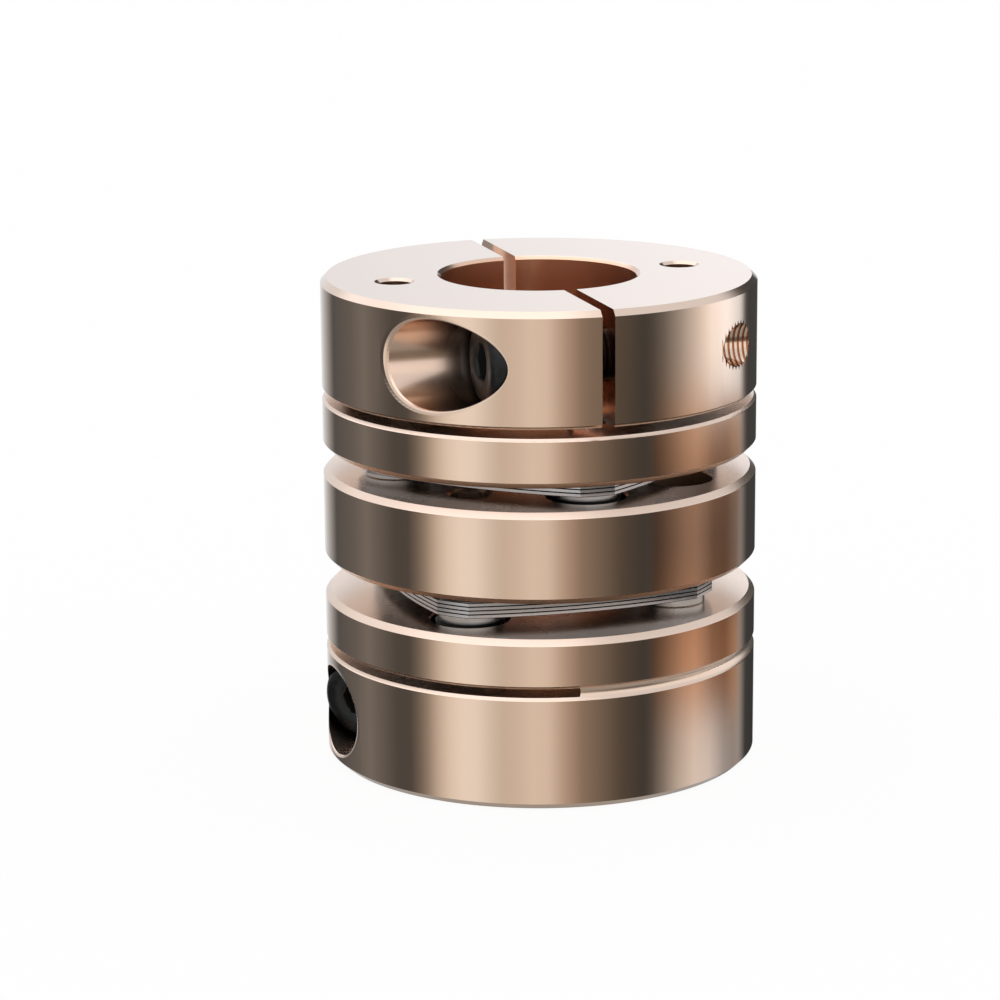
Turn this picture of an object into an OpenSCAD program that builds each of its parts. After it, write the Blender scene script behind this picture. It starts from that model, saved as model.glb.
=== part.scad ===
// Double-disc clamp-hub shaft coupling, standing on the end face of its lower hub.
// Axis along Z, origin at the centre of the lower end face, clamping slit of the upper hub towards -Y.
// Two clamp hubs and a centre spacer are joined by two packs of thin spring-steel leaves.
// Each pack is bolted by turns to its hub and to the spacer, at the four corners of its leaves.

/* [Overall] */
// Outside diameter of both hubs and the spacer
outer_d = 44.5; // [44:0.5:48]
// Chamfer on the outer edges of hubs and spacer
edge_chamfer = 0.6; // [0.3:0.1:0.8]
// Diameter of the shaft bore in both hubs
bore_d = 20; // [14:0.5:20]
// Chamfer at both ends of the bores
bore_chamfer = 0.35; // [0.2:0.05:0.6]

/* [Hubs] */
// Height of the split clamp ring
ring_h = 11.5; // [11:0.5:14]
// Height of the saw kerf between clamp ring and flange
kerf_h = 0.9; // [0.6:0.1:1.2]
// How far the kerf reaches past the axis, away from the slit
kerf_reach = 13.4; // [12:0.2:13.4]
// Thickness of the flange that carries the leaves
flange_h = 5; // [4.8:0.1:6]
// Width of the clamping slits
slit_w = 1.3; // [0.8:0.1:2]
// Width of the round-bottomed groove turned over the kerf
groove_w = 1.5; // [1.3:0.1:1.9]
// Depth of that groove
groove_depth = 0.4; // [0.3:0.05:0.5]

/* [Clamp screws] */
// Thread diameter of the clamp screws
clamp_d = 5; // [4:1:5]
// Length under the head
clamp_len = 16; // [14:1:18]
// Head diameter
clamp_head_d = 8.5; // [7:0.5:8.5]
// Head height
clamp_head_h = 5; // [4:0.5:5]
// Hexagon socket of the head, across flats
clamp_socket = 4; // [3:0.5:4]
// Depth of that socket
clamp_socket_depth = 2.5; // [1.5:0.1:3]
// Distance from the outside of the hub in to the screw axis
clamp_inset = 6.65; // [6.3:0.05:6.7]
// Distance from the end face to the screw axis
clamp_depth = 5.6; // [5.2:0.1:5.8]
// Distance from the slit's middle plane to the face of the head
clamp_face = 10.9; // [10:0.1:11.5]
// Chamfer round the face of the head
clamp_head_edge = 0.5; // [0.3:0.05:0.7]
// How far the rounding of the counterbore's rim reaches over the outside, on the rim's blunt side
rim_leg = 0.6; // [0.3:0.05:0.8]

/* [Disc screws] */
// Thread diameter of the screws that hold the leaves
disc_d = 4; // [3:0.5:4]
// Length under the head
disc_len = 8; // [7.6:0.1:8.4]
// Head diameter
disc_head_d = 7; // [6:0.5:7]
// Head height
disc_head_h = 4; // [3:0.5:4]
// Hexagon socket of the head, across flats
disc_socket = 3; // [2:0.5:3]
// Depth of that socket
disc_socket_depth = 2; // [1:0.1:2.4]
// Distance from the outside of the hubs in to the axes of these screws
bolt_inset = 7.05; // [7:0.05:7.25]

/* [Leaf packs] */
// Number of leaves in each pack
leaf_count = 4; // [2:1:6]
// Thickness of one leaf
leaf_t = 0.4; // [0.3:0.05:0.5]
// How far the middle of a leaf's side lies outside the circle of the disc screws
side_margin = 0.7; // [0.2:0.1:1.2]
// Radius of the shallow arc of each side
leaf_side_r = 55; // [45:1:80]
// How far the blunt tip of a leaf's corner lies outside that circle
tip_margin = 3.7; // [3.3:0.1:4.2]
// Diameter of the hole in the middle of the leaves
leaf_bore_d = 21; // [20.5:0.1:22]
// Chamfer along a leaf's outer edges
leaf_edge = 0.06; // [0.03:0.01:0.1]

/* [Rings beside the packs] */
// Outside diameter of the collars, washers and shims
collar_d = 6.5; // [6:0.1:7]
// Thickness of the collars between the spacer and the upper pack
upper_collar_t = 0.7; // [0.5:0.05:1]
// Thickness of the washers under the heads in the upper hub
upper_washer_t = 0.7; // [0.5:0.05:1]
// Thickness of the shims between the upper pack and its hub
upper_shim_t = 0.1; // [0.1:0.05:0.5]
// Thickness of the collars between the lower hub and its pack
lower_collar_t = 0.95; // [0.8:0.05:1.2]
// Thickness of the collars between the lower pack and the spacer
lower_washer_t = 1.05; // [0.8:0.05:1.2]

/* [Spacer] */
// Height of the spacer
spacer_h = 9.2; // [8.6:0.1:11]
// Diameter of the hole through the spacer
spacer_bore_d = 20.5; // [18:0.5:21]

/* [Fits] */
// Extra diameter of the counterbores over the clamp screw heads
counterbore_clearance = 0.5; // [0.3:0.1:0.8]
// Extra diameter of the plain holes over the clamp screws
clamp_clearance = 0.5; // [0.3:0.1:0.8]
// Extra diameter of the holes in leaves, collars and washers over the disc screws
pack_clearance = 0.2; // [0.1:0.05:0.4]
// Extra diameter of the holes that the disc screw heads stand in
head_clearance = 1; // [0.6:0.1:1]
// Extra diameter of the key holes over a round that passes the disc screw key across flats
key_clearance = 0.5; // [0.5:0.1:1]
// Chamfer at the mouths of the screw holes
hole_chamfer = 0.3; // [0.1:0.05:0.4]
// How far the tapped holes for the disc screws run on above the kerf
tap_over = 0.6; // [0.4:0.1:0.9]

/* [Hidden] */
$fa = 4;
$fs = 0.3;

outer_r = outer_d / 2;
bolt_r = outer_r - bolt_inset;
clamp_r = outer_r - clamp_inset;
hub_h = ring_h + kerf_h + flange_h;
ring_z = flange_h + kerf_h;
pack_t = leaf_count * leaf_t;
clamp_seat = clamp_face - clamp_head_h;
counterbore_r = (clamp_head_d + counterbore_clearance) / 2;
head_hole_d = disc_head_d + head_clearance;
key_hole_d = disc_socket + key_clearance;

// Heights in the assembly, upwards from the lower end face
lower_pack_z = hub_h + lower_collar_t;
spacer_z = lower_pack_z + pack_t + lower_washer_t;
spacer_top = spacer_z + spacer_h;
upper_pack_z = spacer_top + upper_collar_t;
upper_hub_z = upper_pack_z + pack_t + upper_shim_t;

// Where the slit of each hub stands, counted from -Y; corner 1 of each pack is in line with it
upper_turn = 0;
lower_turn = -135;

// Edges broken by less than a chamfer that shows
screw_edge = 0.25;
collar_edge = 0.1;

// Stations along the rounded rim of a counterbore, and flats across it
rim_stations = 72;
rim_flats = 3;
// Share of the full rounding that is left where the rim is sharpest
rim_least = 0.15;

anodised = [0.80, 0.64, 0.50];
spring_steel = [0.66, 0.67, 0.68];
plain_steel = [0.55, 0.56, 0.57];
black_steel = [0.08, 0.09, 0.09];

// A plain disc along Z with a 45 degree chamfer round each face
module chamfered_disc(r, h, c) {
    rotate_extrude()
        polygon([[0, 0], [r - c, 0], [r, c], [r, h - c], [r - c, h], [0, h]]);
}

// A cutter for a round hole from z0 to z1, with a 45 degree mouth at each end that has one
module hole(d, z0, z1, mouth_low = 0, mouth_high = 0) {
    low = mouth_low > 0 ? 1 : 0;
    high = mouth_high > 0 ? 1 : 0;
    rotate_extrude()
        polygon([
            [0, z0 - low],
            [d / 2 + mouth_low + low, z0 - low],
            [d / 2, z0 + mouth_low],
            [d / 2, z1 - mouth_high],
            [d / 2 + mouth_high + high, z1 + high],
            [0, z1 + high]
        ]);
}

// Places its children on the bolt circle, at an angle counted from -Y
module at_bolt(angle) {
    rotate([0, 0, angle]) translate([0, -bolt_r, 0]) children();
}

// Places its children at one corner of a pack, numbered from the slit of the pack's hub
module at_corner(i, turn) {
    at_bolt(turn + 90 * (i - 1)) children();
}

// Places its children on the axis of a hub's clamp screw, with Z pointing out of the counterbore
module at_clamp_axis() {
    translate([0, -clamp_r, hub_h - clamp_depth]) rotate([0, -90, 0]) children();
}

// Places a hub: the upper one as it is drawn, the lower one upside down
module in_upper_place() {
    rotate([0, 0, upper_turn]) translate([0, 0, upper_hub_z]) children();
}

module in_lower_place() {
    rotate([0, 0, lower_turn - 180]) translate([0, 0, hub_h]) rotate([180, 0, 0]) children();
}

// The turned groove and, in its bottom, the saw kerf that frees the clamp ring from the flange
module kerf_cut() {
    groove_r = (groove_w * groove_w / 4 + groove_depth * groove_depth) / (2 * groove_depth);
    rotate_extrude()
        translate([outer_r - groove_depth + groove_r, flange_h + kerf_h / 2]) circle(r = groove_r);
    translate([-outer_d, -outer_d, flange_h])
        cube([2 * outer_d, outer_d + kerf_reach, kerf_h]);
}

// A slit down through the clamp ring, towards -Y
module slit_cut(floor_z) {
    translate([-slit_w / 2, -outer_d, floor_z]) cube([slit_w, outer_d, hub_h]);
}

// A point on the outside of a hub, or off it, at a radius and an angle round the counterbore's axis;
// angle 0 is the side where the counterbore runs out of the hub at its sharpest
function outside_point(radius, angle, off = 0) =
    let (inset = clamp_r + radius * cos(angle))
    [-sqrt(max(0, outer_r * outer_r - inset * inset)) - off, -inset, radius * sin(angle)];

// The section of the rim's cutter at one angle: flats that round the edge between the outside and the
// counterbore, run on a little past both, and close over a corner in the open
function rim_section(angle) =
    let (
        leg = rim_leg * max(sin(angle / 2), rim_least),
        edge = outside_point(counterbore_r, angle),
        outer = outside_point(counterbore_r + leg, angle),
        inner = edge + [leg * 2 / 3, 0, 0],
        arc = [
            for (k = [0:rim_flats])
                let (s = k / rim_flats)
                (1 - s) * (1 - s) * outer + 2 * s * (1 - s) * edge + s * s * inner
        ],
        last = rim_flats
    )
    [
        arc[0] + (arc[0] - arc[1]) / 2,
        for (k = [1:last - 1]) arc[k],
        arc[last] + (arc[last] - arc[last - 1]) / 2,
        outside_point(counterbore_r - leg / 2, angle, leg)
    ];

// Cutter for the rounded rim where the counterbore meets the outside
module rim_cut() {
    n = rim_flats + 2;
    translate([0, 0, hub_h - clamp_depth])
        polyhedron(
            points = [for (i = [0:rim_stations - 1]) each rim_section(360 * i / rim_stations)],
            faces = [
                for (i = [0:rim_stations - 1], k = [0:n - 1])
                    let (
                        a = n * i + k,
                        b = n * i + (k + 1) % n,
                        c = n * ((i + 1) % rim_stations) + (k + 1) % n,
                        d = n * ((i + 1) % rim_stations) + k
                    )
                    each [[a, b, c], [a, c, d]]
            ]
        );
}

// Counterbore and plain hole on one side of the slit, tapped hole right through on the other
module clamp_hole() {
    rim_cut();
    at_clamp_axis() {
        translate([0, 0, clamp_seat]) cylinder(r = counterbore_r, h = outer_d);
        cylinder(d = clamp_d + clamp_clearance, h = outer_r);
        translate([0, 0, -outer_d]) cylinder(d = clamp_d, h = outer_d);
    }
}

// One clamp hub: leaf side at z = 0, end face at hub_h, clamping slit towards -Y.
// The kerf leaves a bridge across from the slit, on which the two jaws of the ring bend.
module hub(rear_slit) {
    difference() {
        chamfered_disc(outer_r, hub_h, edge_chamfer);
        hole(bore_d, 0, hub_h, bore_chamfer, bore_chamfer);
        kerf_cut();
        slit_cut(flange_h + kerf_h / 2);
        if (rear_slit) rotate([0, 0, 180]) slit_cut(ring_z);
        clamp_hole();
        // Tapped holes in line with the slit
        for (a = [0, 180])
            at_bolt(a) hole(disc_d, 0, ring_z + tap_over, hole_chamfer);
        // Holes for the heads of the other two screws, with key holes through the clamp ring
        for (a = [90, 270])
            at_bolt(a) {
                hole(head_hole_d, 0, flange_h + kerf_h / 2, hole_chamfer / 2);
                hole(key_hole_d, flange_h, hub_h, 0, hole_chamfer);
            }
    }
}

module upper_hub() {
    color(anodised) in_upper_place() hub(true);
}

module lower_hub() {
    color(anodised) in_lower_place() hub(false);
}

// Spacer: at each pack's corners, two holes that the heads stand in and two tapped holes
module centre_spacer() {
    color(anodised) translate([0, 0, spacer_z])
        difference() {
            chamfered_disc(outer_r, spacer_h, edge_chamfer);
            hole(spacer_bore_d, 0, spacer_h, bore_chamfer, bore_chamfer);
            for (turn = [upper_turn, lower_turn]) {
                for (i = [1, 3])
                    at_corner(i, turn) hole(head_hole_d, 0, spacer_h, hole_chamfer / 2, hole_chamfer / 2);
                for (i = [2, 4])
                    at_corner(i, turn) hole(disc_d, 0, spacer_h, hole_chamfer, hole_chamfer);
            }
        }
}

// One leaf: four shallow arcs that meet in blunt corners, with a hole at each corner
module leaf() {
    difference() {
        intersection() {
            chamfered_disc(bolt_r + tip_margin, leaf_t, leaf_edge);
            leaf_side_disc(45);
            leaf_side_disc(135);
            leaf_side_disc(225);
            leaf_side_disc(315);
        }
        translate([0, 0, -leaf_t]) cylinder(d = leaf_bore_d, h = 3 * leaf_t);
        for (a = [0:90:270])
            at_bolt(a) translate([0, 0, -leaf_t]) cylinder(d = disc_d + pack_clearance, h = 3 * leaf_t);
    }
}

// The disc whose edge is one side of the leaf, with that side's middle at an angle
module leaf_side_disc(angle) {
    rotate([0, 0, angle]) translate([bolt_r + side_margin - leaf_side_r, 0, 0])
        chamfered_disc(leaf_side_r, leaf_t, leaf_edge);
}

module upper_leaf(i) {
    color(spring_steel) rotate([0, 0, upper_turn])
        translate([0, 0, upper_pack_z + (i - 1) * leaf_t]) leaf();
}

module lower_leaf(i) {
    color(spring_steel) rotate([0, 0, lower_turn])
        translate([0, 0, lower_pack_z + (i - 1) * leaf_t]) leaf();
}

// A flat ring round a disc screw, standing on z = 0
module screw_ring(t) {
    edge = min(collar_edge, t / 4);
    hole_r = (disc_d + pack_clearance) / 2;
    rim = collar_d / 2;
    rotate_extrude()
        polygon([
            [hole_r, 0],
            [rim - edge, 0],
            [rim, edge],
            [rim, t - edge],
            [rim - edge, t],
            [hole_r, t]
        ]);
}

module upper_collar(i) {
    color(plain_steel) at_corner(i, upper_turn) translate([0, 0, spacer_top]) screw_ring(upper_collar_t);
}

module upper_shim(i) {
    color(plain_steel) at_corner(i, upper_turn)
        translate([0, 0, upper_pack_z + pack_t]) screw_ring(upper_shim_t);
}

module upper_washer(i) {
    color(plain_steel) at_corner(i, upper_turn)
        translate([0, 0, upper_pack_z + pack_t]) screw_ring(upper_washer_t);
}

module lower_collar(i) {
    color(plain_steel) at_corner(i, lower_turn) translate([0, 0, hub_h]) screw_ring(lower_collar_t);
}

module lower_washer(i) {
    color(plain_steel) at_corner(i, lower_turn)
        translate([0, 0, lower_pack_z + pack_t]) screw_ring(lower_washer_t);
}

// A socket head cap screw: seat of the head at z = 0, head upwards, two socket corners along Y
module cap_screw(d, len, head_d, head_h, head_edge, socket, socket_depth) {
    corner_d = socket / cos(30);
    difference() {
        rotate_extrude()
            polygon([
                [0, -len],
                [d / 2 - 2 * screw_edge, -len],
                [d / 2, -len + 2 * screw_edge],
                [d / 2, 0],
                [head_d / 2, 0],
                [head_d / 2, head_h - head_edge],
                [head_d / 2 - head_edge, head_h],
                [0, head_h]
            ]);
        translate([0, 0, head_h - socket_depth]) rotate([0, 0, 30])
            cylinder(d = corner_d, h = head_h, $fn = 6);
        // The socket's mouth is broken by a cone that just takes its corners off
        translate([0, 0, head_h - corner_d / 4])
            cylinder(d1 = corner_d / 2, d2 = corner_d * 3 / 2 + screw_edge, h = corner_d / 2);
    }
}

module disc_screw() {
    cap_screw(disc_d, disc_len, disc_head_d, disc_head_h, screw_edge, disc_socket, disc_socket_depth);
}

module clamp_screw() {
    at_clamp_axis() translate([0, 0, clamp_seat])
        cap_screw(
            clamp_d, clamp_len, clamp_head_d, clamp_head_h, clamp_head_edge, clamp_socket, clamp_socket_depth
        );
}

// Corners 1 and 3: head down in the spacer; corners 2 and 4: head up in the hub's flange
module upper_screw(i) {
    color(black_steel) at_corner(i, upper_turn)
        if (i % 2 == 1)
            translate([0, 0, spacer_top]) rotate([180, 0, 0]) disc_screw();
        else
            translate([0, 0, upper_pack_z + pack_t + upper_washer_t]) disc_screw();
}

// Corners 1 and 3: head up in the spacer; corners 2 and 4: head down in the hub's flange
module lower_screw(i) {
    color(black_steel) at_corner(i, lower_turn)
        if (i % 2 == 1)
            translate([0, 0, spacer_z]) disc_screw();
        else
            translate([0, 0, hub_h]) rotate([180, 0, 0]) disc_screw();
}

module upper_clamp_screw() {
    color(black_steel) in_upper_place() clamp_screw();
}

module lower_clamp_screw() {
    color(black_steel) in_lower_place() clamp_screw();
}

upper_hub();
lower_hub();
centre_spacer();
upper_clamp_screw();
lower_clamp_screw();
for (i = [1:leaf_count]) {
    upper_leaf(i);
    lower_leaf(i);
}
for (i = [1:4]) {
    upper_screw(i);
    lower_screw(i);
    upper_collar(i);
    lower_collar(i);
    lower_washer(i);
}
for (i = [1, 3]) {
    upper_shim(i);
}
for (i = [2, 4]) {
    upper_washer(i);
}
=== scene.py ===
import math

import bmesh
import bpy
from mathutils import Matrix, Vector


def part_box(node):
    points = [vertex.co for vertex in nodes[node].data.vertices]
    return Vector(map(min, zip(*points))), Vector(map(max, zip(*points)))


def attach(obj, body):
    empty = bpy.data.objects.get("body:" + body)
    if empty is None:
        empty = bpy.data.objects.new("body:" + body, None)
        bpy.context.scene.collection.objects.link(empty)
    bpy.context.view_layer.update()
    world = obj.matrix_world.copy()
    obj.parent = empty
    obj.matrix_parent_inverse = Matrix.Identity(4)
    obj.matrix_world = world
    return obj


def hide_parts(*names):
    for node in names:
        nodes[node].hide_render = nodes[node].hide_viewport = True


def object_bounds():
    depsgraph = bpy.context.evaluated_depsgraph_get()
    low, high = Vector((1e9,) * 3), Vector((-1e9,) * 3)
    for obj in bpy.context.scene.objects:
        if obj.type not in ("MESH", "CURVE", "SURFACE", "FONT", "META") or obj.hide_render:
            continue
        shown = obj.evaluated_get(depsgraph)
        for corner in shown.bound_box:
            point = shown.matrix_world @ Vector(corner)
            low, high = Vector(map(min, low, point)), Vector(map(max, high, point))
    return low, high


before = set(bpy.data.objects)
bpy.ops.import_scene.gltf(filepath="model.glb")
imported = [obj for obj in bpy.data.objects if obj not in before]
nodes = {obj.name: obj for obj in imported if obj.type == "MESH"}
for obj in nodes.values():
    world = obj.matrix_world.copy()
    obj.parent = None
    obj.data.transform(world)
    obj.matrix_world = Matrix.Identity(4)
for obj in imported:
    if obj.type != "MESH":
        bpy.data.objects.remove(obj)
cad_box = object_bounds()
MM = 0.001

# Hubs and spacer
# Two clamp hubs and the spacer between them, turned from aluminium bar, bored, slit and sawn, and then
# anodised to a glossy champagne. The clear oxide over the tinted metal whitens every face that is seen
# at a low angle. The round skin is the smoothest, and the faces towards the leaves are the dullest.
body_height = cad_box[1][2] - cad_box[0][2]
clamp_reach = 15.6 * MM
clamp_edge = 5.6 * MM
# Where the axis of each clamp screw crosses its slit, and how far it is turned from X. Distances along
# the axis count from the slit, and the screw's head lies at the minus end.
clamp_axes = {
    "upper_clamp_screw": (Vector((0, -clamp_reach, body_height - clamp_edge)), 0.0),
    "lower_clamp_screw": (
        Vector((-clamp_reach, clamp_reach, 0)) * math.sqrt(0.5) + Vector((0, 0, clamp_edge)),
        math.radians(45),
    ),
}
head_face = -10.9 * MM
# Soft borders between the finishes and the painted tints: two distances from the shaft's axis, or in a
# counterbore from the screw's axis. The counterbore is painted darker along its axis towards the head,
# as painted shade deep in the recess.
skin_border = (22.16 * MM, 22.21 * MM)
bore_border = (10.2 * MM, 10.3 * MM)
pocket_border = (4.62 * MM, 4.67 * MM)
pocket_end = head_face + 2 * MM
pocket_shade = (head_face - 3.6 * MM, head_face - 0.1 * MM)
# A slit's walls lie this far along the screw's axis, and are followed this far up and down from it
slit_half = 0.67 * MM
slit_level = 5.5 * MM
# The faces towards the leaves lie this near to the middle of the coupling
inner_faces = 15.5 * MM
anodised_colour = (0.79, 0.59, 0.445, 1)
# Painted reflection: the deeper colour of the bore and the slits, for light bounced inside them
painted_bounce_colour = (0.88, 0.52, 0.335, 1)
# Painted reflection: the counterbores' slightly redder tint, for light bounced inside them
painted_pocket_bounce_colour = (0.80, 0.57, 0.42, 1)
# Painted shade deep in each counterbore, towards the screw's head
painted_pocket_shade_colour = (0.25, 0.18, 0.14, 1)
skin_roughness = 0.10
face_roughness = 0.17
inner_roughness = 0.28
bore_roughness = 0.24
pocket_roughness = 0.25
oxide_ior = 1.6
skin_gloss = 0.07
inner_gloss = 0.20
cloud_scale = 160.0
cloud_range = (0.2, 0.8)
cloud_swing = 0.07
turning_pitch = 0.2 * MM
turning_depth = 0.00006 * MM
turned_face_share = 0.15


def add_node(tree, kind, inputs, settings):
    """A new node; a number or colour goes on its socket, and another node's output is linked."""
    made = tree.nodes.new(kind)
    for key, value in settings.items():
        setattr(made, key, value)
    for key, value in inputs.items():
        if isinstance(value, bpy.types.NodeSocket):
            tree.links.new(value, made.inputs[key])
        else:
            made.inputs[key].default_value = value
    return made


class Finish:
    """A node material that starts empty, with short calls that add its nodes."""

    def __init__(self, name):
        self.material = bpy.data.materials.new(name)
        self.material.use_nodes = True
        self.tree = self.material.node_tree
        self.tree.nodes.clear()

    def node(self, kind, inputs=None, **settings):
        return add_node(self.tree, "ShaderNode" + kind, inputs or {}, settings)

    def maths(self, operation, *values):
        return self.node("Math", dict(enumerate(values)), operation=operation).outputs[0]

    def vector(self, operation, *values):
        return self.node("VectorMath", dict(enumerate(values)), operation=operation).outputs

    def within(self, value, reach):
        """1 where a value is nearer to 0 than the reach, and 0 elsewhere."""
        return self.maths("LESS_THAN", self.maths("ABSOLUTE", value), reach)

    def all_of(self, share, *others):
        """How far a place lies in every one of the masks."""
        for other in others:
            share = self.maths("MULTIPLY", share, other)
        return share

    def step(self, value, low, high, start=0.0, end=1.0):
        """A soft step from start to end as the value goes from low to high."""
        sockets = {"Value": value, "From Min": low, "From Max": high, "To Min": start, "To Max": end}
        return self.node("MapRange", sockets, interpolation_type="SMOOTHSTEP").outputs[0]

    def blend(self, share, first, second):
        sockets = {"Factor": share, "A": first, "B": second}
        return self.node("Mix", sockets, data_type="FLOAT").outputs[0]

    def blend_colours(self, share, first, second):
        """The Mix node keeps its colours on sockets 6 and 7, and gives the result on output 2."""
        return self.node("Mix", {0: share, 6: first, 7: second}, data_type="RGBA").outputs[2]

    def ramp(self, value, stops):
        """A colour ramp through (place, tone or colour) stops."""
        made = self.node("ValToRGB", {"Fac": value})
        elements = made.color_ramp.elements
        while len(elements) > 1:
            elements.remove(elements[-1])
        for i, (place, tone) in enumerate(stops):
            stop = elements[0] if i == 0 else elements.new(place)
            stop.position = place
            stop.color = (*tone, 1) if isinstance(tone, tuple) else (tone, tone, tone, 1)
        return made.outputs["Color"]

    def noise(self, place, scale, detail):
        sockets = {"Vector": place, "Scale": scale, "Detail": detail}
        return self.node("TexNoise", sockets).outputs[0]

    def bump(self, height, depth, strength=1.0):
        sockets = {"Strength": strength, "Distance": depth, "Height": height}
        return self.node("Bump", sockets).outputs[0]

    def surface(self, shader):
        self.node("OutputMaterial", {"Surface": shader.outputs[0]})
        return self.material


def from_middle(finish, place):
    """How far above or below the middle of the coupling a place lies."""
    height = finish.node("SeparateXYZ", {0: place}).outputs["Z"]
    return finish.maths("ABSOLUTE", finish.maths("SUBTRACT", height, body_height / 2))


def from_clamp_screw(finish, place, centre, turn):
    """How far a place lies along a clamp screw's axis, away from it and above it."""
    sockets = {"Vector": place, "Location": tuple(centre), "Rotation": (0, 0, turn)}
    local = finish.node("Mapping", sockets, vector_type="TEXTURE").outputs[0]
    across = finish.vector("MULTIPLY", local, (0, 1, 1))[0]
    parts = finish.node("SeparateXYZ", {0: local}).outputs
    return parts["X"], finish.vector("LENGTH", across)["Value"], parts["Z"]


def anodised_aluminium():
    finish = Finish("anodised_aluminium")
    place = finish.node("TexCoord").outputs["Object"]
    radius = finish.vector("LENGTH", finish.vector("MULTIPLY", place, (1, 1, 0))[0])["Value"]
    on_skin = finish.step(radius, *skin_border)
    under_skin = finish.maths("SUBTRACT", 1.0, on_skin)

    in_pocket = in_slit = in_shade = 0.0
    for centre, turn in clamp_axes.values():
        along, away, above = from_clamp_screw(finish, place, centre, turn)
        inside = finish.all_of(
            finish.step(away, *pocket_border, 1.0, 0.0),
            finish.maths("LESS_THAN", along, pocket_end),
            under_skin,
        )
        in_pocket = finish.maths("MAXIMUM", in_pocket, inside)
        shaded = finish.all_of(inside, finish.step(along, *pocket_shade))
        in_shade = finish.maths("MAXIMUM", in_shade, shaded)
        narrow = finish.within(along, slit_half)
        narrow = finish.all_of(narrow, finish.within(above, slit_level), under_skin)
        in_slit = finish.maths("MAXIMUM", in_slit, narrow)
    in_bore = finish.step(radius, *bore_border, 1.0, 0.0)
    off_middle = from_middle(finish, place)
    inner = finish.all_of(finish.maths("LESS_THAN", off_middle, inner_faces), under_skin)

    # Painted reflection: the bore and the slits get a deeper, redder colour for light that has met the
    # tinted metal more than once
    painted_bounce_share = finish.maths("MAXIMUM", in_bore, in_slit)
    colour = finish.blend_colours(painted_bounce_share, anodised_colour, painted_bounce_colour)
    # Painted reflection: the counterbores get a slightly redder tint for light bounced inside them
    colour = finish.blend_colours(in_pocket, colour, painted_pocket_bounce_colour)
    # Painted shade: the counterbore darkens deep towards the screw's head
    colour = finish.blend_colours(in_shade, colour, painted_pocket_shade_colour)
    roughness = finish.blend(on_skin, face_roughness, skin_roughness)
    roughness = finish.blend(inner, roughness, inner_roughness)
    roughness = finish.blend(in_bore, roughness, bore_roughness)
    roughness = finish.blend(in_pocket, roughness, pocket_roughness)
    cloud = finish.noise(place, scale=cloud_scale, detail=3.0)
    cloud = finish.step(cloud, *cloud_range, 1 - cloud_swing, 1 + cloud_swing)

    # Turning marks run round the axis, one beside another up the skin and outwards on the faces
    height = finish.node("SeparateXYZ", {0: place}).outputs["Z"]
    feed = finish.maths("DIVIDE", finish.maths("ADD", radius, height), turning_pitch)
    marks = finish.node("TexNoise", {"W": feed, "Scale": 1.0, "Detail": 2.0}, noise_dimensions="1D")
    share = finish.blend(on_skin, turned_face_share, 1.0)
    sockets = {
        "Metallic": 1.0,
        "Base Color": colour,
        "Roughness": finish.maths("MULTIPLY", roughness, cloud),
        "Coat Weight": 1.0,
        "Coat IOR": oxide_ior,
        "Coat Roughness": finish.blend(inner, skin_gloss, inner_gloss),
        "Normal": finish.bump(marks.outputs[0], turning_depth, share),
    }
    return finish.surface(finish.node("BsdfPrincipled", sockets))


def dress(names, material):
    """Give CAD nodes a finish."""
    for name in names:
        data = nodes[name].data
        data.materials.clear()
        data.materials.append(material)


anodised = anodised_aluminium()
dress(["upper_hub", "lower_hub", "centre_spacer"], anodised)

# Threads in the hubs
# Each clamp screw is tightened into a fine M5 thread, cut right through the far jaw of its hub. Past
# the screw's end the turns stand open to view, and the hub's round skin cuts them off at a slant.
m5_radius = 2.5 * MM
m5_pitch = 0.5 * MM
hole_crest = 2.16 * MM
# The widths of a turn at its crest and at its root, as shares of the pitch
hole_shares = (0.50, 0.96)
thread_steps = 48
# How far the root of a thread is sunk into the metal, so that no gap shows
thread_sunk = 0.02 * MM
smooth_below = math.radians(32)
clamp_screw_end = 10.2 * MM
tapped_length = 9.2 * MM
hub_radius = 22.25 * MM
hub_sides = 512
quarter_turn = math.radians(90)


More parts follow.
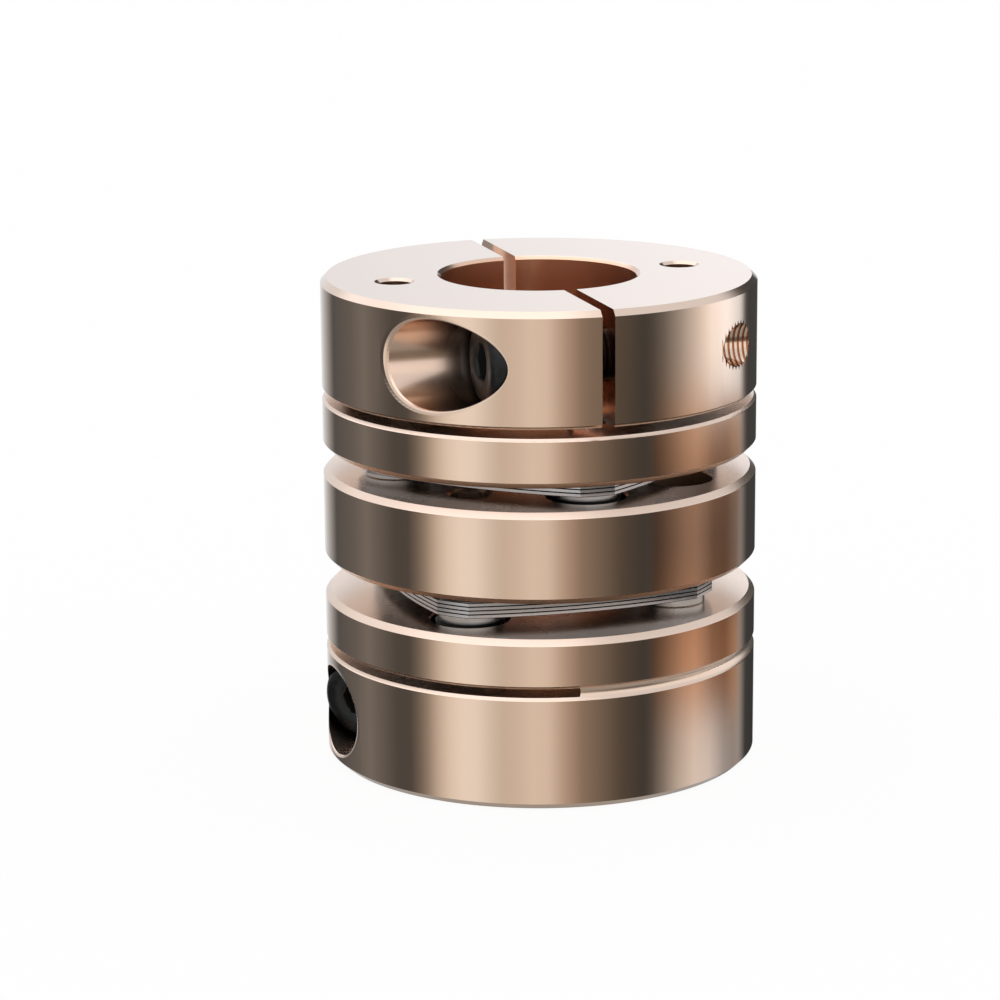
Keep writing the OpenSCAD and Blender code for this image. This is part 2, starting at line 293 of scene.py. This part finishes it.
def thread_tree(name, inside):
    """A node tree that winds one screw thread round Z, proud of a core or standing in from a wall.

    Crest and Root are radii, and their shares are widths in pitches. Turn lays the thread's axis level
    and turns it about Z, and Place moves it. A thread in a hole is cut off at the radius Outside, where
    it would stand out of the hub."""
    tree = bpy.data.node_groups.new(name, "GeometryNodeTree")
    socket = tree.interface.new_socket
    socket("Geometry", in_out="INPUT", socket_type="NodeSocketGeometry")
    for size in ("Crest", "Root", "Pitch", "Crest Share", "Root Share", "Length"):
        socket(size, in_out="INPUT", socket_type="NodeSocketFloat")
    if inside:
        socket("Outside", in_out="INPUT", socket_type="NodeSocketFloat")
    socket("Turn", in_out="INPUT", socket_type="NodeSocketVector")
    socket("Place", in_out="INPUT", socket_type="NodeSocketVector")
    socket("Finish", in_out="INPUT", socket_type="NodeSocketMaterial")
    socket("Geometry", in_out="OUTPUT", socket_type="NodeSocketGeometry")

    def node(kind, inputs=None, **settings):
        return add_node(tree, kind, inputs or {}, settings)

    def maths(operation, *values):
        return node("ShaderNodeMath", dict(enumerate(values)), operation=operation).outputs[0]

    given = node("NodeGroupInput").outputs
    middle = maths("MULTIPLY", maths("ADD", given["Crest"], given["Root"]), 0.5)
    sockets = {
        "Resolution": thread_steps,
        "Rotations": maths("DIVIDE", given["Length"], given["Pitch"]),
        "Start Radius": middle,
        "End Radius": middle,
        "Height": given["Length"],
        "Reverse": True,
    }
    spiral = node("GeometryNodeCurveSpiral", sockets)
    upright = node("GeometryNodeSetCurveNormal", {"Curve": spiral.outputs[0]}, mode="Z_UP")
    sockets = {
        "Height": maths("ABSOLUTE", maths("SUBTRACT", given["Crest"], given["Root"])),
        "Bottom Width": maths("MULTIPLY", given["Pitch"], given["Root Share"]),
        "Top Width": maths("MULTIPLY", given["Pitch"], given["Crest Share"]),
        "Offset": 0.0,
    }
    section = node("GeometryNodeCurvePrimitiveQuadrilateral", sockets, mode="TRAPEZOID")
    lean = (0, 0, quarter_turn if inside else -quarter_turn)
    leant = node("GeometryNodeTransform", {"Geometry": section.outputs[0], "Rotation": lean})
    sockets = {"Curve": upright.outputs[0], "Profile Curve": leant.outputs[0], "Fill Caps": True}
    ridge = node("GeometryNodeCurveToMesh", sockets)
    sockets = {"Geometry": ridge.outputs[0], "Rotation": given["Turn"], "Translation": given["Place"]}
    placed = node("GeometryNodeTransform", sockets).outputs[0]
    if inside:
        sockets = {"Vertices": hub_sides, "Radius": given["Outside"], "Depth": 1.0}
        skin = node("GeometryNodeMeshCylinder", sockets)
        cut = node("GeometryNodeMeshBoolean", operation="INTERSECT", solver="EXACT")
        tree.links.new(placed, cut.inputs["Mesh 2"])
        tree.links.new(skin.outputs[0], cut.inputs["Mesh 2"])
        placed = cut.outputs[0]
    joined = node("GeometryNodeJoinGeometry")
    tree.links.new(placed, joined.inputs[0])
    tree.links.new(given["Geometry"], joined.inputs[0])
    real = node("GeometryNodeRealizeInstances", {"Geometry": joined.outputs[0]})
    sockets = {"Geometry": real.outputs[0], "Material": given["Finish"]}
    painted = node("GeometryNodeSetMaterial", sockets)
    node("NodeGroupOutput", {0: painted.outputs[0]})
    return tree


def wind_thread(name, data, tree, material, shares, **sizes):
    """Run a thread tree on a mesh and keep the result as a plain piece."""
    source = bpy.data.objects.new(name + "_blank", data)
    bpy.context.scene.collection.objects.link(source)
    modifier = source.modifiers.new("thread", "NODES")
    modifier.node_group = tree
    sockets = tree.interface.items_tree
    keys = {socket.name: socket.identifier for socket in sockets if socket.in_out == "INPUT"}
    for size, value in sizes.items():
        modifier[keys[size]] = value
    modifier[keys["Crest Share"]] = shares[0]
    modifier[keys["Root Share"]] = shares[1]
    modifier[keys["Finish"]] = material
    source.update_tag()
    wound = source.evaluated_get(bpy.context.evaluated_depsgraph_get())
    made = bpy.data.meshes.new_from_object(wound)
    source.modifiers.remove(modifier)
    bpy.data.objects.remove(source)
    made.name = name
    made.shade_smooth()
    made.set_sharp_from_angle(angle=smooth_below)
    piece = bpy.data.objects.new(name, made)
    bpy.context.scene.collection.objects.link(piece)
    return piece


hole_thread = thread_tree("hole_thread", inside=True)
for screw, (centre, turn) in clamp_axes.items():
    start = centre + Vector((math.cos(turn), math.sin(turn), 0)) * clamp_screw_end
    ridge = wind_thread(
        screw.replace("clamp_screw", "jaw_thread"),
        bpy.data.meshes.new("empty"),
        hole_thread,
        anodised,
        hole_shares,
        Crest=hole_crest,
        Root=m5_radius + thread_sunk,
        Pitch=m5_pitch,
        Length=tapped_length,
        Outside=hub_radius,
        Turn=(0, quarter_turn, turn),
        Place=tuple(start),
    )
    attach(ridge, "root")

# Leaf packs
# Each pack is four leaves blanked from rolled stainless strip, stacked and held by the screws at their
# corners. The strip keeps its fine rolling lines, and painted shade darkens the seams between the
# leaves.
leaf_colour = (0.50, 0.50, 0.505, 1)
# Painted shade in the seams between the leaves
painted_seam_shade = (0.02, 0.02, 0.02, 1)
leaf_roughness = (0.24, 0.29)
leaf_height = 0.4 * MM
pack_floors = [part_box("lower_leaf_1")[0][2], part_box("upper_leaf_1")[0][2]]
between_packs = sum(pack_floors) / 2
# A seam starts this far from the middle of a leaf's edge, in leaf heights
seam_border = (0.30, 0.38)
# A leaf's edges are its faces whose normals rise or fall by less than this
edge_tilt = 0.9
rolling_scale = (90.0, 4000.0, 4000.0)
rolling_depth = 0.0001 * MM
noise_range = (0.3, 0.7)


def rolled_strip():
    finish = Finish("rolled_strip")
    place = finish.node("TexCoord").outputs["Object"]
    # Painted shade: the top and bottom of each leaf's edge, at the seams, are black, and the flats are
    # not
    height = finish.node("SeparateXYZ", {0: place}).outputs["Z"]
    floor = finish.blend(finish.maths("GREATER_THAN", height, between_packs), *pack_floors)
    stacked = finish.maths("DIVIDE", finish.maths("SUBTRACT", height, floor), leaf_height)
    off_middle = finish.maths("SUBTRACT", finish.maths("FRACT", stacked), 0.5)
    off_middle = finish.maths("ABSOLUTE", off_middle)
    normal = finish.node("NewGeometry").outputs["True Normal"]
    tilt = finish.node("SeparateXYZ", {0: normal}).outputs["Z"]
    seam = finish.all_of(finish.step(off_middle, *seam_border), finish.within(tilt, edge_tilt))
    lines = finish.node("Mapping", {"Vector": place, "Scale": rolling_scale}).outputs[0]
    rolled = finish.noise(lines, scale=1.0, detail=4.0)
    sockets = {
        "Metallic": 1.0,
        "Base Color": finish.blend_colours(seam, leaf_colour, painted_seam_shade),
        "Roughness": finish.step(rolled, *noise_range, *leaf_roughness),
        "Normal": finish.bump(rolled, rolling_depth),
    }
    return finish.surface(finish.node("BsdfPrincipled", sockets))


dress([name for name in nodes if "_leaf_" in name], rolled_strip())

# Collars, washers and shims
# Small rings of plain steel, turned and parted off, with the turning marks left on. They lie round each
# screw and hold the leaves off the hubs and the spacer, so that the packs can flex.
collar_colour = (0.42, 0.42, 0.41, 1)
collar_roughness = (0.22, 0.34)
collar_mark_scale = (30.0, 30.0, 6000.0)
collar_mark_depth = 0.0003 * MM


def turned_steel():
    finish = Finish("turned_steel")
    place = finish.node("TexCoord").outputs["Object"]
    rings = finish.node("Mapping", {"Vector": place, "Scale": collar_mark_scale}).outputs[0]
    marks = finish.noise(rings, scale=1.0, detail=3.0)
    sockets = {
        "Metallic": 1.0,
        "Base Color": collar_colour,
        "Roughness": finish.step(marks, *noise_range, *collar_roughness),
        "Normal": finish.bump(marks, collar_mark_depth),
    }
    return finish.surface(finish.node("BsdfPrincipled", sockets))


ring_words = ("_collar_", "_washer_", "_shim_")
dress([name for name in nodes if any(word in name for word in ring_words)], turned_steel())

# Screws
# Socket head cap screws of hardened steel with a black oxide finish: eight M4 through the leaf packs and
# one M5 across each clamp slit. Their threads are cut, so a thinner core shows between the crests. The
# ends that show in the kerfs of the hubs are rubbed down to the steel.
m4_radius = 2.0 * MM
m4_core = 1.62 * MM
m4_pitch = 0.7 * MM
m5_core = 2.2 * MM
screw_shares = (0.20, 0.90)
thread_relief = 0.35 * MM
# A point of a screw belongs to its head past the first share of the shank's radius, and to the shank
# below the second
head_share = 1.2
shank_share = 1.02
merge_distance = 0.001 * MM
shank_slack = 0.01 * MM
# The hexagon sockets are a little smaller than the solids' ones, as the photograph shows them
socket_share = 0.86
socket_radius = 2.35 * MM
socket_span = (head_face + 0.30 * MM, head_face + 4 * MM)
# Painted shade inside the clamp screws' hexagon sockets
painted_socket_shade = (0.012, 0.012, 0.012, 1)
oxide_tones = [(0.3, (0.020, 0.021, 0.021)), (0.75, (0.034, 0.034, 0.033))]
oxide_grain = 1500.0
oxide_roughness = (0.30, 0.44)
bare_colour = (0.42, 0.41, 0.40, 1)
bare_ends = (11.5 * MM, 14.6 * MM)


def black_oxide():
    finish = Finish("black_oxide")
    place = finish.node("TexCoord").outputs["Object"]
    grain = finish.noise(place, scale=oxide_grain, detail=4.0)
    off_middle = from_middle(finish, place)
    bare = finish.all_of(
        finish.maths("GREATER_THAN", off_middle, bare_ends[0]),
        finish.maths("LESS_THAN", off_middle, bare_ends[1]),
    )
    sockets = {
        "Metallic": 0.9,
        "Base Color": finish.blend_colours(bare, finish.ramp(grain, oxide_tones), bare_colour),
        "Roughness": finish.step(grain, *noise_range, *oxide_roughness),
    }
    outside = finish.node("BsdfPrincipled", sockets).outputs[0]

    # Painted shade: the clamp screws' hexagon sockets are filled with a flat near-black, so no gloss
    # comes back out of them
    in_sockets = 0.0
    for centre, turn in clamp_axes.values():
        along, away, _ = from_clamp_screw(finish, place, centre, turn)
        inside = finish.all_of(
            finish.maths("GREATER_THAN", along, socket_span[0]),
            finish.maths("LESS_THAN", away, socket_radius),
            finish.maths("LESS_THAN", along, socket_span[1]),
        )
        in_sockets = finish.maths("MAXIMUM", in_sockets, inside)
    socket_shade = finish.node("BsdfDiffuse", {"Color": painted_socket_shade}).outputs[0]
    return finish.surface(finish.node("MixShader", {0: in_sockets, 1: outside, 2: socket_shade}))


def cut_core(name, centre, along, radius, core):
    """A merged copy of a screw with a smaller socket, its shank thinned to the core of its thread.

    It also gives the distances along the axis at which the shank starts and ends."""
    mesh = bmesh.new()
    mesh.from_mesh(nodes[name].data)
    bmesh.ops.remove_doubles(mesh, verts=mesh.verts, dist=merge_distance)
    places = [(vertex, (vertex.co - centre).dot(along)) for vertex in mesh.verts]
    end = max(at for vertex, at in places)
    wide = radius * head_share
    start = max(at for vertex, at in places if (vertex.co - centre - along * at).length > wide)
    for vertex, at in places:
        axis_point = centre + along * at
        away = vertex.co - axis_point
        if at > start - shank_slack and away.length < radius * shank_share:
            vertex.co = axis_point + away * (core / radius)
        elif away.length < radius:
            vertex.co = axis_point + away * socket_share
    data = bpy.data.meshes.new(name + "_core")
    mesh.to_mesh(data)
    mesh.free()
    return data, start, end


screw_thread = thread_tree("screw_thread", inside=False)
oxide = black_oxide()


def thread_screw(name, centre, along, radius, core, pitch):
    """Stand a threaded screw in the place of a plain one."""
    data, start, end = cut_core(name, centre, along, radius, core)
    if along.z:
        turn = (0.0 if along.z > 0 else math.pi, 0.0, 0.0)
    else:
        turn = (0.0, quarter_turn, math.atan2(along.y, along.x))
    piece = wind_thread(
        name + "_threaded",
        data,
        screw_thread,
        oxide,
        screw_shares,
        Crest=radius,
        Root=core - thread_sunk,
        Pitch=pitch,
        Length=end - start - 2 * thread_relief,
        Turn=turn,
        Place=tuple(centre + along * (start + thread_relief)),
    )
    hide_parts(name)
    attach(piece, "root")


for screw, (centre, turn) in clamp_axes.items():
    along = Vector((math.cos(turn), math.sin(turn), 0))
    thread_screw(screw, centre, along, m5_radius, m5_core, m5_pitch)

for name in [n for n in nodes if "_screw_" in n]:
    low, high = (Vector(corner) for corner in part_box(name))
    centre = (low + high) / 2
    points = [vertex.co for vertex in nodes[name].data.vertices]
    heads = [point.z for point in points if (point - centre).xy.length > m4_radius * head_share]
    upward = sum(heads) / len(heads) < centre.z
    thread_screw(name, centre, Vector((0, 0, 1 if upward else -1)), m4_radius, m4_core, m4_pitch)

# The photograph's view
# A long lens stands a little above the coupling and to the left of the slit, and looks a little past
# the coupling, so that it stands right of the middle of the picture.
picture_px = 1000
focal_px = 3444
sensor_mm = 36.0
aim = Vector((0, 0, 25)) * MM
aim_px = (539.6, 511.1)
camera_distance = 356.5 * MM
camera_azimuth = math.radians(-17.6)
camera_elevation = math.radians(13.95)
camera_roll = math.radians(-0.25)
clip_distances = (10 * MM, 100)


def direction(azimuth, elevation):
    """The unit vector towards a compass angle counted from -Y and an angle above the horizon."""
    flat = math.cos(elevation)
    return Vector((math.sin(azimuth) * flat, -math.cos(azimuth) * flat, math.sin(elevation)))


def place_camera():
    camera = bpy.data.objects.new("camera", bpy.data.cameras.new("camera"))
    bpy.context.scene.collection.objects.link(camera)
    camera.data.sensor_width = sensor_mm
    camera.data.lens = sensor_mm * focal_px / picture_px
    camera.data.clip_start, camera.data.clip_end = clip_distances
    back = direction(camera_azimuth, camera_elevation)
    look = (-back).to_track_quat("-Z", "Y").to_matrix()
    across = math.atan((aim_px[0] - picture_px / 2) / focal_px)
    down = math.atan((aim_px[1] - picture_px / 2) / focal_px)
    turn = (
        Matrix.Rotation(across, 3, "Y")
        @ Matrix.Rotation(down, 3, "X")
        @ Matrix.Rotation(camera_roll, 3, "Z")
    )
    camera.matrix_world = Matrix.Translation(aim + back * camera_distance) @ (look @ turn).to_4x4()
    bpy.context.scene.camera = camera


place_camera()

# The studio
# A white dome over a table of pale paper gives the soft light. Round the coupling stands a tent of
# cloth, which only the gloss of the metal sees: white above, and panels and dark gaps at the height of
# the table's edge. Angles are in degrees, round the tent from the camera and up from the horizon.
dome_light = 1.0
table_radius = 6.0
table_sides = 128
table_tone = 0.93
table_glow = 0.93
tent_radius = 3.0
tent_sides = 128

# The panels, at the height that the upright surfaces mirror
tent_round = [
    (-180, 0.95), (-164, 0.72), (-150, 0.40), (-138, 0.10), (-116, 0.15), (-104, 0.21), (-95, 0.16),
    (-82, 0.09), (-73, 0.09), (-67, (0.20, 0.18, 0.165)), (-62, (0.35, 0.32, 0.285)),
    (-55, (0.68, 0.64, 0.60)), (-49, (0.88, 0.86, 0.835)), (-42, 0.99), (-34, 0.97), (-27, 0.80),
    (-20, (0.70, 0.66, 0.62)), (-12, (0.75, 0.70, 0.66)), (-4, (0.84, 0.80, 0.76)),
    (4, (0.80, 0.76, 0.71)), (13, (0.53, 0.45, 0.40)), (22, (0.30, 0.25, 0.21)),
    (34, (0.18, 0.155, 0.13)), (44, (0.10, 0.087, 0.075)), (56, 0.06), (64, 0.09), (90, 0.30),
    (118, 0.42), (132, 0.38), (144, 0.05), (168, 0.03), (180, 0.95),
]
# The board at the right: its bands from the foot up, and how bright they are round the tent
board_edges = (57, 65, 126, 140)
board_levels = [
    (-17.6, (0.64, 0.37, 0.22)), (-16.0, (0.62, 0.34, 0.20)), (-15.3, (0.32, 0.21, 0.155)),
    (-14.3, (0.27, 0.20, 0.165)), (-13.4, (0.30, 0.21, 0.16)), (-12.7, (0.56, 0.31, 0.18)),
    (-12.0, (0.66, 0.44, 0.30)),
]
board_round = [
    (60, 0.14), (68, 0.34), (74, 0.54), (82, 0.85), (90, 1.0), (97, 0.74), (104, (0.46, 0.42, 0.38)),
    (116, (0.40, 0.36, 0.33)), (126, (0.66, 0.72, 0.78)),
]
# Its top and foot are white, each brightest at its own place
board_top = (-12.0, -11.55)
board_top_round = [
    (62, 0.10), (68, 0.17), (78, 0.40), (90, (0.80, 0.79, 0.80)), (102, (1.22, 1.25, 1.31)),
    (116, (1.28, 1.35, 1.48)), (126, (0.98, 1.04, 1.12)),
]
board_foot = (-17.9, -17.1)
board_foot_round = [
    (62, 0.13), (68, 0.26), (78, 0.60), (90, (0.86, 0.88, 0.91)), (102, (0.80, 0.82, 0.87)),
    (116, (0.42, 0.44, 0.47)), (126, 0.34),
]
# The pale floor of the tent, below the table's edge
floor_tone = (0.40, 0.40, 0.40, 1)
floor_border = (-34.0, -22.0)
# The cloth above the table's edge, at the left and at the right. Sides are shares of the tent's radius
# along X, as the camera sees it.
sky_tones = ((0.82, 0.83, 0.86, 1), (1.07, 1.08, 1.12, 1))
sky_border = (-8.5, 1.0)
sky_sides = (-0.15, 0.15)
# The roof, at the left, in the middle and at the right
high_tones = ((1.0, 1.03, 1.12, 1), (1.50, 1.53, 1.66, 1), (0.86, 0.90, 0.98, 1))
high_border = (19.0, 34.0)
high_left = (-0.74, -0.55)
high_right = (0.10, 0.42)
# The dark flag at the right behind the coupling, which stands up above the horizon
flag_edges = (130, 144, 164, 172)
flag_foot = (-20.0, -8.0)
flag_top = (30.0, 38.0)
flag_tone = (0.06, 0.06, 0.06, 1)


def make_world():
    world = bpy.data.worlds.new("dome")
    bpy.context.scene.world = world
    world.use_nodes = True
    world.node_tree.nodes.clear()

    def node(kind, inputs=None, **settings):
        return add_node(world.node_tree, "ShaderNode" + kind, inputs or {}, settings)

    path = node("LightPath").outputs
    sockets = {0: path["Is Glossy Ray"], 1: path["Is Transmission Ray"]}
    gloss = node("Math", sockets, operation="MAXIMUM").outputs[0]
    seen = node("Math", {0: path["Is Camera Ray"], 1: gloss}, operation="MAXIMUM").outputs[0]
    strength = node("MapRange", {"Value": seen, "To Min": dome_light, "To Max": 1.0}).outputs[0]
    background = node("Background", {"Color": (1, 1, 1, 1), "Strength": strength})
    node("OutputWorld", {"Surface": background.outputs[0]})


def stand(name, mesh):
    """Put a mesh in the scene as one object."""
    data = bpy.data.meshes.new(name)
    mesh.to_mesh(data)
    mesh.free()
    made = bpy.data.objects.new(name, data)
    bpy.context.scene.collection.objects.link(made)
    return made


def make_table():
    mesh = bmesh.new()
    bmesh.ops.create_circle(mesh, cap_ends=True, segments=table_sides, radius=table_radius)
    table = stand("table", mesh)
    finish = Finish("table_paper")
    path = finish.node("LightPath").outputs
    gloss = finish.maths("MAXIMUM", path["Is Glossy Ray"], path["Is Transmission Ray"])
    seen = finish.maths("MAXIMUM", path["Is Camera Ray"], gloss)
    paper = finish.node("BsdfDiffuse", {"Color": (table_tone, table_tone, table_tone, 1)}).outputs[0]
    glow = finish.node("Emission", {"Color": (1, 1, 1, 1), "Strength": 1.0}).outputs[0]
    share = finish.maths("MULTIPLY", seen, table_glow)
    mixed = finish.node("MixShader", {0: share, 1: paper, 2: glow})
    table.data.materials.append(finish.surface(mixed))
    table.visible_glossy = False


def tent_cloth():
    finish = Finish("tent_cloth")
    place = finish.node("TexCoord").outputs["Object"]
    sockets = {"Vector": place, "Location": tuple(aim), "Rotation": (0, 0, camera_azimuth)}
    local = finish.node("Mapping", sockets, vector_type="TEXTURE").outputs[0]
    parts = finish.node("SeparateXYZ", {0: finish.vector("NORMALIZE", local)[0]}).outputs
    side = parts["X"]
    forward = finish.maths("MULTIPLY", parts["Y"], -1.0)
    angle = finish.maths("DEGREES", finish.maths("ARCTAN2", side, forward))
    height = finish.maths("DEGREES", finish.maths("ARCSINE", parts["Z"]))
    turn_share = finish.maths("DIVIDE", finish.maths("ADD", angle, 180.0), 360.0)

    def round_tent(stops):
        """A ramp round the whole tent."""
        return finish.ramp(turn_share, [((at + 180) / 360, tone) for at, tone in stops])

    def window(value, edges):
        """1 between the two inner ones of four edges, falling to 0 at the outer ones."""
        return finish.all_of(finish.step(value, *edges[:2]), finish.step(value, *edges[2:], 1.0, 0.0))

    low = board_levels[0][0]
    rise = board_levels[-1][0] - low
    level = finish.maths("DIVIDE", finish.maths("SUBTRACT", height, low), rise)
    bands = finish.ramp(level, [((at - low) / rise, tone) for at, tone in board_levels])
    board = finish.vector("MULTIPLY", bands, round_tent(board_round))[0]
    board_tip = round_tent(board_top_round)
    board = finish.blend_colours(finish.step(height, *board_top), board, board_tip)
    board = finish.blend_colours(finish.step(height, *board_foot), round_tent(board_foot_round), board)
    cloth = finish.blend_colours(window(angle, board_edges), round_tent(tent_round), board)

    low_down = finish.step(height, *floor_border, 1.0, 0.0)
    cloth = finish.blend_colours(low_down, cloth, floor_tone)
    sky = finish.blend_colours(finish.step(side, *sky_sides), *sky_tones)
    cloth = finish.blend_colours(finish.step(height, *sky_border), cloth, sky)
    roof = finish.blend_colours(finish.step(side, *high_left), *high_tones[:2])
    roof = finish.blend_colours(finish.step(side, *high_right), roof, high_tones[2])
    cloth = finish.blend_colours(finish.step(height, *high_border), cloth, roof)
    flagged = window(height, flag_foot + flag_top)
    flagged = finish.all_of(window(angle, flag_edges), flagged)
    cloth = finish.blend_colours(flagged, cloth, flag_tone)
    return finish.surface(finish.node("Emission", {"Color": cloth, "Strength": 1.0}))


def make_tent():
    mesh = bmesh.new()
    rows = tent_sides // 2
    bmesh.ops.create_uvsphere(mesh, u_segments=tent_sides, v_segments=rows, radius=tent_radius)
    for vertex in mesh.verts:
        vertex.co += aim
    tent = stand("tent", mesh)
    tent.data.materials.append(tent_cloth())
    tent.visible_camera = False
    tent.visible_diffuse = False
    tent.visible_shadow = False


make_world()
make_table()
make_tent()

scene = bpy.context.scene
scene.view_settings.view_transform = "Standard"
